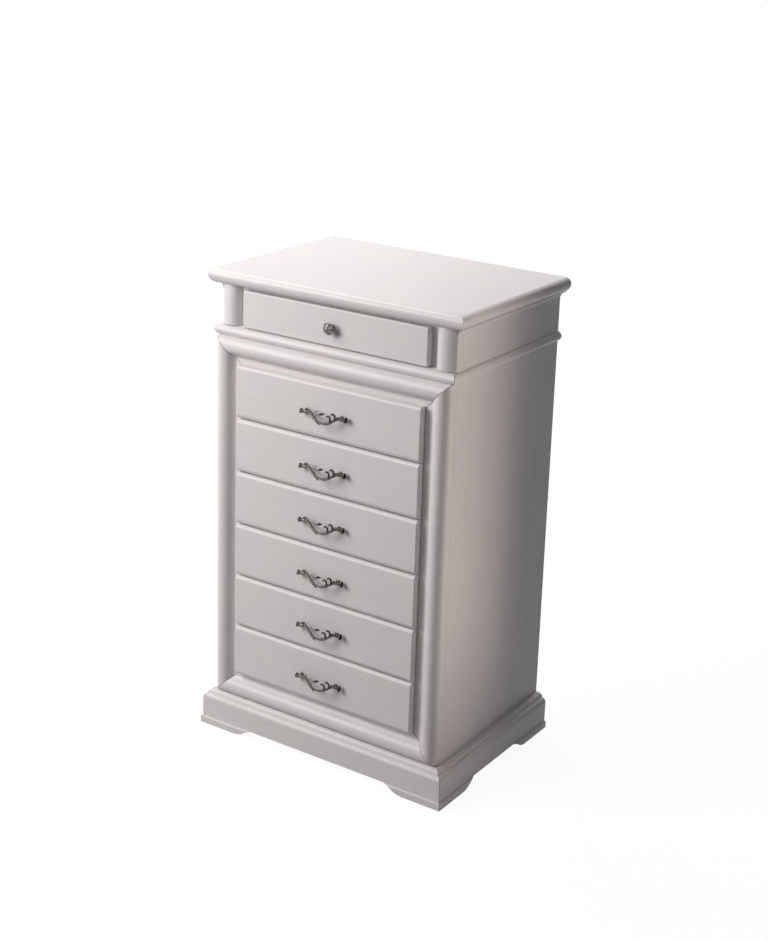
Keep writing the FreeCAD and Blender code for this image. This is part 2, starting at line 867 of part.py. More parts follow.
def screw(name, x, face_y, z):
    """A pan-head screw driven from inside the drawer, through its front, into the casting."""
    head_y = face_y + screw_run + S.screw_head_height
    length = S.screw_head_height + screw_run + S.screw_engagement
    head = rod(name + "_head", S.screw_head_radius, S.screw_head_height, (x, head_y, z), FORWARD)
    shank = rod(name + "_shank", S.screw_radius, length, (x, head_y, z), FORWARD)
    return union(name, [head, shank])


def screw_bore(name, x, face_y, z):
    """The blind hole that takes a screw's end."""
    length = S.screw_engagement + S.screw_hole_clearance * 2
    start_y = face_y + S.screw_hole_clearance
    return rod(name, screw_hole, length, (x, start_y, z), FORWARD)


def bent_rod(name, radius, bar_radius, half_angle, at, crest, across):
    """A round bar bent to an arc about a centre, as far either side of its crest."""
    item = doc.addObject("Part::Torus", name)
    bind(item, "Radius1", radius)
    bind(item, "Radius2", bar_radius)
    bind(item, "Angle3", half_angle * 2)
    start = FreeCAD.Rotation(Vector(0, 0, 1), -half_angle.number)
    place(item, at, axes(crest, across).multiply(start))
    return item


def pull_casting(name, face_y, z):
    """A bow pull: two posts, two trumpet ends, a bow that dips forward, a leaf and two hooks."""
    post_x = S.pull_centres / 2
    arm_y = face_y - S.pull_arm_reach
    pieces = []
    for side, sign in (("left", -1), ("right", 1)):
        at = (post_x * sign, face_y, z)
        pieces.append(rod(f"{name}_post_{side}", S.pull_post_radius, S.pull_arm_reach, at, FORWARD))
        trumpet = doc.addObject("Part::Cone", f"{name}_trumpet_{side}")
        bind(trumpet, "Radius1", S.pull_trumpet_neck)
        bind(trumpet, "Radius2", S.pull_trumpet_mouth)
        bind(trumpet, "Height", S.pull_length / 2 - post_x + S.pull_trumpet_inset)
        outward = FreeCAD.Rotation(Vector(0, 1, 0), RIGHT_ANGLE * sign)
        place(trumpet, ((post_x - S.pull_trumpet_inset) * sign, arm_y, z), outward)
        pieces.append(trumpet)

    # The bow is an arc from post to post, in a plane that leans forward and down.
    forward = S.pull_projection - S.pull_bar_radius - S.pull_arm_reach
    down = S.pull_bow_drop
    dip = root(forward * forward + down * down)
    radius = (post_x * post_x + dip * dip) / (dip * 2)
    depth = radius - dip
    sine = (post_x / radius).number
    swing = Size(math.degrees(math.asin(sine)), f"asin({(post_x / radius).formula})")
    at = (0, arm_y + depth * forward / dip, z + depth * down / dip)
    crest = (0, -forward.number, -down.number)
    bow_size = (radius, S.pull_bar_radius, swing)
    pieces.append(bent_rod(name + "_bow", *bow_size, at, crest, (1, 0, 0)))

    def on_bow(x):
        """The middle of the bow at x: its Y and Z."""
        share = (root(radius * radius - x * x) - depth) / dip
        return arm_y - forward * share, z - down * share

    # Two hooks curl up and to the left from the bow's right half.
    quarter = as_size(RIGHT_ANGLE)
    for number in range(2):
        x = S.hook_across + S.hook_spacing * number
        y, low_z = on_bow(x)
        stem = f"{name}_hook_{number}_stem"
        upright = FreeCAD.Rotation()
        pieces.append(rod(stem, S.hook_bar_radius, S.hook_rise, (x, y, low_z), upright))
        at = (x - S.hook_radius, y, low_z + S.hook_rise)
        curl_size = (S.hook_radius, S.hook_bar_radius, quarter)
        curl = f"{name}_hook_{number}_curl"
        pieces.append(bent_rod(curl, *curl_size, at, (0, 0, 1), (1, 0, 0)))

    # A leaf stands over the middle of the bow.
    y, low_z = on_bow(S.leaf_across)
    at = (S.leaf_across, y, low_z)
    stem = rod(name + "_leaf_stem", S.hook_bar_radius, S.leaf_rise, at, FreeCAD.Rotation())
    leaf = doc.addObject("Part::Ellipsoid", name + "_leaf")
    bind(leaf, "Radius1", S.leaf_height / 2)
    bind(leaf, "Radius2", S.leaf_length / 2)
    bind(leaf, "Radius3", S.leaf_thickness / 2)
    place(leaf, (S.leaf_across, y, low_z + S.leaf_rise))
    pieces += [stem, leaf]

    casting = union(name + "_casting", pieces)
    bores = [
        screw_bore(f"{name}_bore_{side}", x, face_y, z)
        for side, x in (("left", -post_x), ("right", post_x))
    ]
    return difference(name + "_drilled", casting, union(name + "_bores", bores))


def knob_casting(name, face_y, z):
    """A round knob on a small plate, turned about the Y axis."""
    body = doc.addObject("PartDesign::Body", name + "_turned")
    plate, neck = S.knob_plate_thickness, S.knob_neck_length
    edge = neck + S.knob_back_radius / 2
    outline = [
        (0, 0),
        (0, -S.knob_projection),
        (S.knob_radius, -edge, S.knob_dome_radius, 1),
        (S.knob_neck_radius, -neck, S.knob_back_radius, 1),
        (S.knob_neck_radius, -plate),
        (S.knob_plate_radius, -plate),
        (S.knob_plate_radius, 0),
    ]
    turned = body.newObject("PartDesign::Revolution", name + "_revolution")
    turned.Profile = add_sketch(body, "XY_Plane", outline)
    axis = [f for f in body.Origin.OriginFeatures if f.Role == "Y_Axis"][0]
    turned.ReferenceAxis = (axis, [""])
    turned.Angle = 360
    place(body, (0, face_y, z))
    return difference(name + "_drilled", body, screw_bore(name + "_bore", as_size(0), face_y, z))


# ---------------------------------------------------------------- build, check and write

make_carcass()
make_face_frame()
make_runners()
make_plinth()
make_frame_mouldings()
make_waist_mouldings()
make_frieze_mouldings()
make_top()
make_drawers()
doc.recompute()

for item in doc.Objects:
    if "Invalid" in item.State or "Error" in item.State:
        raise RuntimeError(f"{item.Name} failed: {item.State}")
os.makedirs("parts", exist_ok=True)
for item in nodes:
    if item.Shape.isNull() or not item.Shape.isValid() or not item.Shape.Solids:
        raise RuntimeError(f"{item.Label} has no valid solid")
for item in nodes:
    item.Shape.exportStep(f"parts/{item.Label}.step")
    print(item.Label, len(item.Shape.Solids), round(item.Shape.Volume))
print(len(nodes), "nodes")
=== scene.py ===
"""Looks of the semainier: lacquer, woods, cast metal, soft edges, light and camera."""
import json
import math

import bmesh
import bpy
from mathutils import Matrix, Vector


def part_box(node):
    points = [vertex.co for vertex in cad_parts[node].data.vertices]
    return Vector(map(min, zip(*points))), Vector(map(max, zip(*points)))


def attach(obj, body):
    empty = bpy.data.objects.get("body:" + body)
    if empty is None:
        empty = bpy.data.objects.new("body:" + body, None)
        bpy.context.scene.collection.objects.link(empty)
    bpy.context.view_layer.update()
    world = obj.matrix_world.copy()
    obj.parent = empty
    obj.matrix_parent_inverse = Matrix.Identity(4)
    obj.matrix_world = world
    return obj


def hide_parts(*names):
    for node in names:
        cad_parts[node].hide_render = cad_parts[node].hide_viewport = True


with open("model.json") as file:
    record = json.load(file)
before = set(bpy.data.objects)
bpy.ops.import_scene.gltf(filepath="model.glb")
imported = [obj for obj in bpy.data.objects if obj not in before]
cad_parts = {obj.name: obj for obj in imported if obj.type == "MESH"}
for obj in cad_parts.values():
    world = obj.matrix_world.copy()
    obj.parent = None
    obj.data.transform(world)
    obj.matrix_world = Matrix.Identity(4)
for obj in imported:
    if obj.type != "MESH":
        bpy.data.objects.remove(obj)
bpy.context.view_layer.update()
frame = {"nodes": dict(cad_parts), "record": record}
cad_nodes = frame["nodes"]
MM = 0.001
LOWER_DRAWERS = range(1, 7)


def add_object(name, data):
    item = bpy.data.objects.new(name, data)
    bpy.context.scene.collection.objects.link(item)
    return item


# ---------------------------------------------------------------- materials


class Shader:
    """The nodes of a material or a world under construction."""

    def __init__(self, owner):
        self.owner = owner
        owner.use_nodes = True
        self.tree = owner.node_tree
        self.tree.nodes.clear()

    def node(self, kind, inputs=None, **settings):
        """Adds a node. Its inputs are numbers, colours or another node's output."""
        made = self.tree.nodes.new("ShaderNode" + kind)
        for key, value in settings.items():
            setattr(made, key, value)
        for key, value in (inputs or {}).items():
            if isinstance(value, bpy.types.NodeSocket):
                self.tree.links.new(value, made.inputs[key])
            else:
                made.inputs[key].default_value = value
        return made

    def noise(self, place, scale, detail=2.0, roughness=0.5, distortion=0.0):
        inputs = {
            "Vector": place,
            "Scale": scale,
            "Detail": detail,
            "Roughness": roughness,
            "Distortion": distortion,
        }
        return self.node("TexNoise", inputs).outputs["Fac"]

    def math(self, operation, first, second=0.0):
        return self.node("Math", {0: first, 1: second}, operation=operation).outputs[0]

    def span(self, value, low, high, new_low=0.0, new_high=1.0):
        """value between low and high, spread from new_low to new_high."""
        inputs = {
            "Value": value,
            "From Min": low,
            "From Max": high,
            "To Min": new_low,
            "To Max": new_high,
        }
        return self.node("MapRange", inputs).outputs[0]

    def mix(self, share, first, second):
        """A mix of two colours."""
        inputs = {0: share, 6: first, 7: second}
        return self.node("Mix", inputs, data_type="RGBA").outputs[2]

    def stretched(self, place, across, along, axis):
        """Coordinates for a pattern drawn out along one axis."""
        scale = [across] * 3
        scale["XYZ".index(axis)] = along
        return self.node("Mapping", {"Vector": place, "Scale": scale}).outputs[0]

    def place(self):
        return self.node("TexCoord").outputs["Object"]

    def seam_line_and_shade(self, place, seams):
        """How dark a seam's line is, its joint line with painted shade of the open joint: most
        within half a millimetre, nothing past one.
        """
        axes = self.node("SeparateXYZ", {0: place}).outputs
        places = (self.math("ABSOLUTE", axes["X"]), axes["Y"], axes["Z"])
        nearest = 1.0
        for *weights, total in seams:
            reached = -total
            for weight, along in zip(weights, places):
                if weight:
                    reached = self.math("ADD", self.math("MULTIPLY", along, weight), reached)
            length = math.hypot(*weights)
            away = self.math("DIVIDE", self.math("ABSOLUTE", reached), length)
            nearest = self.math("MINIMUM", away, nearest)
        half_width, darkness = 0.5 * MM, 0.8
        return self.span(nearest, half_width, 2 * half_width, darkness, 0.0)

    def bump(self, height, distance, strength, below=None):
        inputs = {"Height": height, "Distance": distance, "Strength": strength}
        if below is not None:
            inputs["Normal"] = below
        return self.node("Bump", inputs).outputs[0]

    def seen_directly(self):
        """1 for a ray from the camera, off gloss or through glass, and 0 for any other."""
        rays = self.node("LightPath").outputs
        direct = self.math("MAXIMUM", rays["Is Camera Ray"], rays["Is Glossy Ray"])
        return self.math("MAXIMUM", direct, rays["Is Transmission Ray"])

    def blend(self, share, first, second):
        """A mix of two shader nodes."""
        return self.node("MixShader", {0: share, 1: first.outputs[0], 2: second.outputs[0]})

    def show(self, surface, output="OutputMaterial"):
        """Makes a shader node the surface, and gives back what it is the surface of."""
        self.tree.links.new(surface.outputs[0], self.node(output).inputs["Surface"])
        return self.owner

    def finish(self, inputs):
        """The surface: a Principled shader with these inputs."""
        return self.show(self.node("BsdfPrincipled", inputs))


def new_material(name):
    return Shader(bpy.data.materials.new(name))


def grey(level):
    return (level, level, level, 1.0)


def lacquer(name, grain, seams=(), worn=False):
    """Satin off-white lacquer over fine-pored wood whose grain runs along one axis.

    Each seam is a plane, as the weights of |x|, y and z and their sum there. A fine dark line
    marks it: the joint's own line, darkened further with painted shade of the open joint.
    """
    s = new_material(name)
    place = s.place()
    clouds = s.noise(place, 5.5, 3.0, 0.55)
    patches = s.noise(place, 19.0, 2.0, 0.5)
    streaks = s.noise(s.stretched(place, 130.0, 2.6, grain), 1.0, 3.0, 0.6)
    fibres = s.noise(s.stretched(place, 620.0, 11.0, grain), 1.0, 2.0, 0.6)
    pores = s.noise(s.stretched(place, 1900.0, 55.0, grain), 1.0, 1.0, 0.5)
    cream = (0.79, 0.752, 0.735, 1.0)
    cool = (0.765, 0.737, 0.742, 1.0)
    tone = s.mix(s.span(clouds, 0.32, 0.68), cream, cool)
    tone = s.mix(s.span(patches, 0.4, 0.75, 0.0, 0.35), tone, (0.805, 0.775, 0.752, 1.0))
    tone = s.mix(s.span(streaks, 0.52, 0.78, 0.0, 0.22), tone, (0.66, 0.622, 0.6, 1.0))
    tone = s.mix(s.span(fibres, 0.56, 0.8, 0.0, 0.16), tone, (0.62, 0.585, 0.56, 1.0))
    if worn:
        chips = s.span(s.noise(place, 260.0, 3.0, 0.7), 0.6, 0.7, 0.0, 0.3)
        tone = s.mix(chips, tone, (0.6, 0.545, 0.5, 1.0))
    # Painted shade: a dark line along each mitre, the joint's line deepened as the shadow in the
    # open joint.
    if seams:
        tone = s.mix(s.seam_line_and_shade(place, seams), tone, (0.2, 0.175, 0.165, 1.0))
    rough = s.span(patches, 0.3, 0.7, 0.33, 0.43)
    height = s.bump(s.span(pores, 0.3, 0.5), 0.00006, 0.5)
    height = s.bump(streaks, 0.00035, 0.35, height)
    height = s.bump(s.noise(place, 42.0, 2.0), 0.0006, 0.25, height)
    return s.finish(
        {
            "Base Color": tone,
            "Roughness": rough,
            "Normal": height,
            "Specular IOR Level": 0.3,
            "Coat Weight": 0.06,
            "Coat Roughness": 0.28,
        }
    )


def raw_wood(name, grain=None):
    """Pale beech without a finish. With no grain axis, each board's grain follows its length."""
    s = new_material(name)
    place = s.place()
    if grain is None:
        normal = s.node("SeparateXYZ", {0: s.node("NewGeometry").outputs["True Normal"]})
        faces_front = s.math("GREATER_THAN", s.math("ABSOLUTE", normal.outputs["Y"]), 0.7)

    def drawn(across, along):
        if grain is not None:
            return s.stretched(place, across, along, grain)
        ways = [s.stretched(place, across, along, axis) for axis in "YX"]
        inputs = {0: faces_front, 4: ways[0], 5: ways[1]}
        return s.node("Mix", inputs, data_type="VECTOR").outputs[1]

    rings = s.noise(drawn(38.0, 1.6), 1.0, 4.0, 0.6, 0.6)
    rings = s.math("FRACT", s.math("MULTIPLY", rings, 7.0))
    flecks = s.noise(drawn(480.0, 75.0), 1.0, 1.0)
    fibres = s.noise(drawn(900.0, 12.0), 1.0, 2.0, 0.6)
    tone = s.mix(s.span(rings, 0.0, 1.0), (0.73, 0.56, 0.385, 1.0), (0.62, 0.445, 0.285, 1.0))
    tone = s.mix(s.span(flecks, 0.6, 0.75, 0.0, 0.5), tone, (0.5, 0.33, 0.2, 1.0))
    tone = s.mix(s.span(fibres, 0.35, 0.7, 0.0, 0.4), tone, (0.8, 0.65, 0.47, 1.0))
    height = s.bump(fibres, 0.0002, 0.5)
    rough = s.span(fibres, 0.3, 0.7, 0.62, 0.75)
    return s.finish({"Base Color": tone, "Roughness": rough, "Normal": height})


def plywood(name):
    """Thin rotary-cut board, with broad flame figure along X."""
    s = new_material(name)
    place = s.place()
    figure = s.noise(s.stretched(place, 9.0, 1.4, "X"), 1.0, 4.0, 0.55, 1.2)
    bands = s.math("FRACT", s.math("MULTIPLY", figure, 9.0))
    fibres = s.noise(s.stretched(place, 700.0, 14.0, "X"), 1.0, 2.0, 0.6)
    tone = s.mix(bands, (0.76, 0.61, 0.44, 1.0), (0.67, 0.51, 0.345, 1.0))
    tone = s.mix(s.span(fibres, 0.4, 0.75, 0.0, 0.45), tone, (0.57, 0.41, 0.27, 1.0))
    height = s.bump(fibres, 0.00015, 0.5)
    rough = s.span(fibres, 0.3, 0.7, 0.55, 0.7)
    return s.finish({"Base Color": tone, "Roughness": rough, "Normal": height})


def pewter(name):
    """Antique cast metal: dark in its hollows, rubbed bright on its high places."""
    s = new_material(name)
    place = s.place()
    relief = s.node("Attribute", attribute_name="relief").outputs["Fac"]
    grain = s.noise(place, 900.0, 3.0, 0.6)
    blotch = s.noise(place, 160.0, 2.0, 0.5)
    high = s.span(s.math("ADD", relief, s.math("MULTIPLY", grain, 0.35)), 0.35, 1.15)
    tone = s.mix(high, (0.03, 0.026, 0.024, 1.0), (0.24, 0.22, 0.205, 1.0))
    tone = s.mix(s.span(blotch, 0.5, 0.8, 0.0, 0.45), tone, (0.07, 0.062, 0.056, 1.0))
    rough = s.span(grain, 0.3, 0.7, 0.3, 0.48)
    height = s.bump(grain, 0.00012, 0.5)
    return s.finish(
        {"Base Color": tone, "Metallic": 1.0, "Roughness": rough, "Normal": height}
    )


def zinc(name):
    """Plain zinc-plated steel of the screws."""
    s = new_material(name)
    grain = s.noise(s.place(), 1200.0, 2.0, 0.6)
    tone = s.mix(s.span(grain, 0.3, 0.7), (0.5, 0.49, 0.46, 1.0), (0.66, 0.65, 0.62, 1.0))
    rough = s.span(grain, 0.3, 0.7, 0.28, 0.42)
    return s.finish({"Base Color": tone, "Metallic": 1.0, "Roughness": rough})


# Families of pieces that meet in mitres, with the planes of those mitres, in metres.
SEAMS = {
    "frame": [(1, 0, -1, -0.6785), (1, 0, 1, 0.408)],
    "waist_moulding": [(1, 1, 0, 0.1115)],
    "base": [(1, 1, 0, 0.1095)],
    "plinth": [(1, 1, 0, 0.1095)],
    "foot_front": [(1, 1, 0, 0.1095)],
}
lacquers = {}


def lacquer_for(piece, grain, worn):
    """The lacquer of a piece, shared by its family."""
    family = next((family for family in SEAMS if piece.startswith(family)), "plain")
    key = f"lacquer_{family}_{grain}" + ("_edge" if worn else "")
    if key not in lacquers:
        lacquers[key] = lacquer(key, grain, SEAMS.get(family, ()), worn)
    return lacquers[key]


WOOD = {axis: raw_wood(f"beech_{axis}", axis) for axis in "XYZ"}
BOX_WOOD = raw_wood("beech_boards")
THIN_BOARD = plywood("plywood")
PEWTER = pewter("pewter")
ZINC = zinc("zinc")


# ---------------------------------------------------------------- pieces as the CAD has them

GRAIN = {
    "side_panel_left": "Z",
    "side_panel_right": "Z",
    "frame_moulding_left": "Z",
    "frame_moulding_right": "Z",
    "frieze_moulding_left": "Z",
    "frieze_moulding_right": "Z",
    "case_stiles": "Z",
    "corner_blocks": "Z",
    "drawer_runners": "Y",
    "waist_moulding_left": "Y",
    "waist_moulding_right": "Y",
    "top_cove_left": "Y",
    "top_cove_right": "Y",
    "base_moulding_left": "Y",
    "base_moulding_right": "Y",
    "plinth_left": "Y",
    "plinth_right": "Y",
}
LACQUERED_EDGE, WOODEN_EDGE = 0.6 * MM, 0.5 * MM


def soften(item, width, edge_material=None):
    """Rounds a piece's sharp edges a little, and shades it smoothly.

    A foot's top edges are rounded already, so there the bevel is held back where it would
    push them out.
    """
    weld = item.modifiers.new("weld", "WELD")
    weld.merge_threshold = 0.01 * MM
    bevel = item.modifiers.new("bevel", "BEVEL")
    bevel.width = width
    bevel.segments = 2
    bevel.limit_method = "ANGLE"
    bevel.angle_limit = math.radians(35)
    bevel.use_clamp_overlap = item.name.startswith("foot_")
    bevel.miter_outer = "MITER_ARC"
    bevel.harden_normals = False
    if edge_material is not None:
        item.data.materials.append(edge_material)
        bevel.material = 1
    normals = item.modifiers.new("normals", "WEIGHTED_NORMAL")
    normals.keep_sharp = False
    normals.weight = 80


record_slots = {part["node"]: part["material_slot"] for part in frame["record"]["subparts"]}
for name, item in cad_nodes.items():
    slot, grain = record_slots[name], GRAIN.get(name, "X")
    item.data.materials.clear()
    if slot == "lacquer":
        item.data.materials.append(lacquer_for(name, grain, worn=False))
        soften(item, LACQUERED_EDGE, lacquer_for(name, grain, worn=True))
    elif slot == "plain_wood":
        item.data.materials.append(BOX_WOOD if name.endswith("_box") else WOOD[grain])
        soften(item, WOODEN_EDGE)
    elif slot == "thin_board":
        item.data.materials.append(THIN_BOARD)
    else:
        item.data.materials.append(PEWTER)


# ---------------------------------------------------------------- cast metalwork

# Half the distance between a pull's screws, in mm as the castings are, and the way it faces.
POST_X = 48
FORWARD = (0, 1, 0)


class Casting:
    """A metal mesh under construction. Places are in mm: across, forward and up."""

    def __init__(self):
        self.points, self.faces, self.relief = [], [], []

    def add_ring(self, ring):
        """Adds points, each a place and its relief from 0 (hollow) to 1 (high)."""
        first = len(self.points)
        for place, relief in ring:
            self.points.append((place[0] * MM, -place[1] * MM, place[2] * MM))
            self.relief.append(relief)
        return list(range(first, len(self.points)))

    def loft(self, rings):
        """A closed skin over the rings. Each has the same number of points, or is one point."""
        before = None
        for ring in rings:
            now = self.add_ring(ring)
            if before is not None:
                sides = max(len(before), len(now))
                for side in range(sides):
                    following = (side + 1) % sides
                    corners = [before[side % len(before)], before[following % len(before)]]
                    corners += [now[following % len(now)], now[side % len(now)]]
                    self.faces.append(tuple(dict.fromkeys(corners)))
            before = now

    def turned(self, at, axis, profile, sides=28, flutes=0, flute_depth=0.0):
        """A turned form. The profile's rows are place along the axis, radius and relief."""
        axis = Vector(axis).normalized()
        side_way = axis.orthogonal().normalized()
        up_way = axis.cross(side_way)
        rings = []
        for along, radius, relief in profile:
            centre = Vector(at) + axis * along
            if radius == 0:
                rings.append([(centre, relief)])
                continue
            ring = []
            for side in range(sides):
                angle = math.tau * side / sides
                wave = math.cos(angle * flutes) if flutes else 1.0
                reach = radius * (1 - flute_depth * (1 - wave) / 2)
                way = side_way * math.cos(angle) + up_way * math.sin(angle)
                ring.append((centre + way * reach, relief * (0.55 + 0.45 * wave)))
            rings.append(ring)
        self.loft(rings)

    def sweep(self, controls, steps=6, sides=14, thin=1.0, ridges=0, relief=0.7):
        """A bar along a smooth curve. The controls' rows are across, forward, up and radius.

        thin is the bar's thickness from front to back, as a share of its width.
        """
        rows = spline(controls, steps)
        places = [Vector(row[:3]) for row in rows]
        rings = []
        for number, (place, row) in enumerate(zip(places, rows)):
            ahead = places[min(number + 1, len(places) - 1)]
            behind = places[max(number - 1, 0)]
            tangent = (ahead - behind).normalized()
            across = tangent.cross(Vector(FORWARD)).normalized()
            flat = across.cross(tangent)
            ring = []
            for side in range(sides):
                angle = math.tau * side / sides
                wave = math.cos(angle * ridges) if ridges else 1.0
                reach = max(row[3], 0.05) * (0.93 + 0.07 * wave)
                offset = across * (math.cos(angle) * reach)
                offset += flat * (math.sin(angle) * reach * thin)
                ring.append((place + offset, relief * (0.5 + 0.5 * wave)))
            rings.append(ring)
        first, last = (places[0], relief), (places[-1], relief)
        self.loft([[first], *rings, [last]])

    def finish(self, name):
        mesh = bpy.data.meshes.new(name)
        mesh.from_pydata(self.points, [], self.faces)
        layer = mesh.attributes.new("relief", "FLOAT", "POINT")
        layer.data.foreach_set("value", self.relief)
        shaping = bmesh.new()
        shaping.from_mesh(mesh)
        bmesh.ops.recalc_face_normals(shaping, faces=shaping.faces)
        shaping.to_mesh(mesh)
        shaping.free()
        mesh.shade_smooth()
        return mesh


def spline(controls, steps):
    """Rows on a smooth curve through the control rows, steps to each run."""
    rows = [controls[0], *controls, controls[-1]]
    curve = []
    for start in range(len(controls) - 1):
        run = list(zip(*rows[start : start + 4]))
        for step in range(steps):
            t = step / steps
            weights = (-t + 2 * t**2 - t**3, 2 - 5 * t**2 + 3 * t**3)
            weights += (t + 4 * t**2 - 3 * t**3, t**3 - t**2)
            curve.append([sum(w * v for w, v in zip(weights, values)) / 2 for values in run])
    curve.append(list(controls[-1]))
    return curve


def trumpet_profile(mouth):
    """From the bow outwards: neck, bead, flare, rolled rim and hollow mouth of that radius."""
    return [
        (0, 2.4, 0.6),
        (4, 3.2, 0.8),
        (9, 3.7, 0.9),
        (12, 3.2, 0.6),
        (13.6, 3.0, 0.1),
        (14.4, 4.3, 0.8),
        (15.6, 5.0, 1.0),
        (16.8, 4.4, 0.8),
        (17.4, 3.5, 0.05),
        (19.2, mouth * 0.58, 0.7),
        (21.4, mouth * 0.78, 0.8),
        (23.2, mouth * 0.95, 0.9),
        (24.1, mouth, 1.0),
        (24.8, mouth * 0.95, 1.0),
        (24.9, mouth * 0.86, 0.5),
        (23.6, mouth * 0.6, 0.0),
        (22.4, mouth * 0.3, 0.0),
        (22.2, 0, 0.3),
    ]


def bow_pull():
    """A cast bow pull: trumpet ends on two posts, a leafy left arm, two hooks and a leaf."""
    cast = Casting()
    post = [(0, 0, 0.3), (0, 6.0, 0.4), (0.7, 6.4, 0.9), (1.7, 5.6, 0.8), (2.4, 4.2, 0.2)]
    post += [(5, 3.9, 0.6), (8, 4.3, 0.7), (11, 3.9, 0.8), (12.6, 2.2, 0.9), (13, 0, 0.9)]
    for x in (-POST_X, POST_X):
        cast.turned((x, 0, 0), FORWARD, post)
    fluting = {"flutes": 8, "flute_depth": 0.06}
    cast.turned((-35.0, 9.6, 0.9), (-1, -0.02, -0.08), trumpet_profile(6.6), **fluting)
    cast.turned((39.5, 9.8, 1.4), (1, -0.03, -0.02), trumpet_profile(7.3), **fluting)

    # The bow dips forward and down from the left post to the right one.
    left_arm = [
        (-42, 9.6, 0.6, 2.8),
        (-34.6, 11.8, 2.4, 3.9),
        (-27.4, 14.4, -0.8, 3.8),
        (-19.6, 17.4, -5.0, 3.6),
        (-11.6, 19.8, -9.0, 3.3),
        (-3.5, 21.8, -12.2, 2.8),
        (8, 23.2, -14.2, 2.1),
    ]
    right_arm = [
        (4, 22.8, -13.8, 1.9),
        (12, 23.3, -14.3, 2.3),
        (20, 23.0, -12.8, 2.8),
        (28, 21.4, -9.4, 3.0),
        (37, 17.6, -4.2, 2.8),
        (45, 13.2, 0.4, 2.6),
        (52, 10.4, 2.0, 2.4),
    ]
    cast.sweep(left_arm, ridges=4, sides=20)
    cast.sweep(right_arm, ridges=4, sides=20, relief=0.6)

    # Leaflets lie along the left arm, and a tip curls up near its start.
    for x, forward, up, _ in left_arm[1:-1]:
        for way in (-1, 1):
            leaflet = [
                (x - 3, forward + 0.8, up + way * 1.0, 0.8),
                (x + 1, forward + 1.8, up - 0.6 + way * 2.2, 2.1),
                (x + 4.6, forward + 2.0, up - 2.2 + way * 2.8, 1.8),
                (x + 7.6, forward + 1.4, up - 3.8 + way * 3.6, 0.6),
            ]
            cast.sweep(leaflet, steps=4, sides=10, thin=0.6, ridges=2, relief=0.75)
    curl = [
        (-33, 12, 2.6, 2.2),
        (-34.6, 12.8, 6.0, 2.3),
        (-32.4, 13.4, 9.0, 1.8),
        (-29.0, 13.6, 9.2, 1.2),
        (-28.2, 13.4, 7.4, 0.9),
    ]
    cast.sweep(curl, sides=12, thin=0.8, relief=0.9)

    # Two hooks rise from the right arm and curl to the left.
    hook = [
        (0, 0, 0, 2.6),
        (1.8, 0.8, 5.5, 2.4),
        (1.2, 1.0, 11, 2.3),
        (-2.6, 1.0, 14.6, 2.2),
        (-7.0, 0.6, 13.8, 2.0),
        (-8.4, 0.2, 11.2, 1.5),
    ]
    for base in ((28.5, 21.2, -9.0), (38.4, 16.8, -3.4)):
        rows = [(*(b + h for b, h in zip(base, row)), row[3]) for row in hook]
        cast.sweep(rows, sides=12, relief=0.25)

    # A small leaf hangs on a tendril over the middle of the bow.
    tendril = [
        (-5, 21.0, -11.6, 1.5),
        (-9.4, 20.0, -5.6, 1.1),
        (-8.6, 19.0, 0.2, 0.9),
        (-3.2, 18.4, 2.4, 0.9),
    ]
    cast.sweep(tendril, sides=10, relief=0.8)
    leaf = [
        (-4.2, 18.4, 2.2, 0.6),
        (-0.6, 18.8, 3.8, 2.0),
        (4.6, 19.2, 5.6, 3.3),
        (9.4, 18.8, 6.6, 2.2),
        (13.4, 18.0, 7.0, 0.3),
    ]
    cast.sweep(leaf, steps=5, sides=14, thin=0.4, ridges=3, relief=0.35)
    return cast.finish("bow_pull")


def petal_knob():
    """A round knob: a plate, a waisted neck and a domed head cut into six petals."""
    cast = Casting()
    plate = [(0, 0, 0.4), (0, 8.6, 0.5), (0.8, 9.0, 0.9), (2.0, 8.4, 0.8), (2.8, 6.2, 0.1)]
    neck = [(3.6, 5.0, 0.5), (7, 4.6, 0.6), (10, 5.4, 0.3), (12, 5.4, 0.3), (12, 0, 0.3)]
    cast.turned((0, 0, 0), FORWARD, plate + neck)

    back_at, rim_at, nose_at, rim_radius = 10.6, 15.2, 24.8, 14.3
    rings = [[(Vector((0, back_at, 0)), 0.2)]]
    for share in (0.45, 0.7, 0.88, 0.97):
        along = back_at + (rim_at - back_at) * share**2
        rings.append(knob_ring(rim_radius * share, along, 0.35))

    # The petals run from the rim to a groove around the button in the middle.
    steps, roundness = 15, 1.7
    button_radius, button_groove_half, button_groove_depth = 4.6, 0.9, 1.1
    petals_end_radius, petals_rise = 4, 9
    for step in range(steps):
        share = step / steps
        along = rim_at + (nose_at - rim_at) * (1 - (1 - share) ** roundness)
        radius = rim_radius * (1 - share)
        sunk = max(0.0, 1 - abs(radius - button_radius) / button_groove_half)
        cut = min(1.0, share * petals_rise) if radius > petals_end_radius else 0.0
        rings.append(knob_ring(radius, along - button_groove_depth * sunk, 1 - sunk, cut))
    rings.append([(Vector((0, nose_at, 0)), 1.0)])
    cast.loft(rings)
    return cast.finish("petal_knob")


def knob_ring(radius, along, relief, cut=0.0):
    """A ring of the knob's head. A cut of 1 makes the grooves between its petals full depth."""
    sides, petals = 72, 6
    groove_width, groove_depth, outline_notch = 0.11, 1.3, 0.05
    ring = []
    for side in range(sides):
        angle = math.tau * side / sides
        turn = (angle * petals / math.tau) % 1.0
        groove = math.exp(-((min(turn, 1 - turn) / groove_width) ** 2))
        reach = radius * (1 - outline_notch * groove)
        forward = along - groove_depth * cut * groove
        place = Vector((math.cos(angle) * reach, forward, math.sin(angle) * reach))
        ring.append((place, relief * (1 - groove)))
    return ring


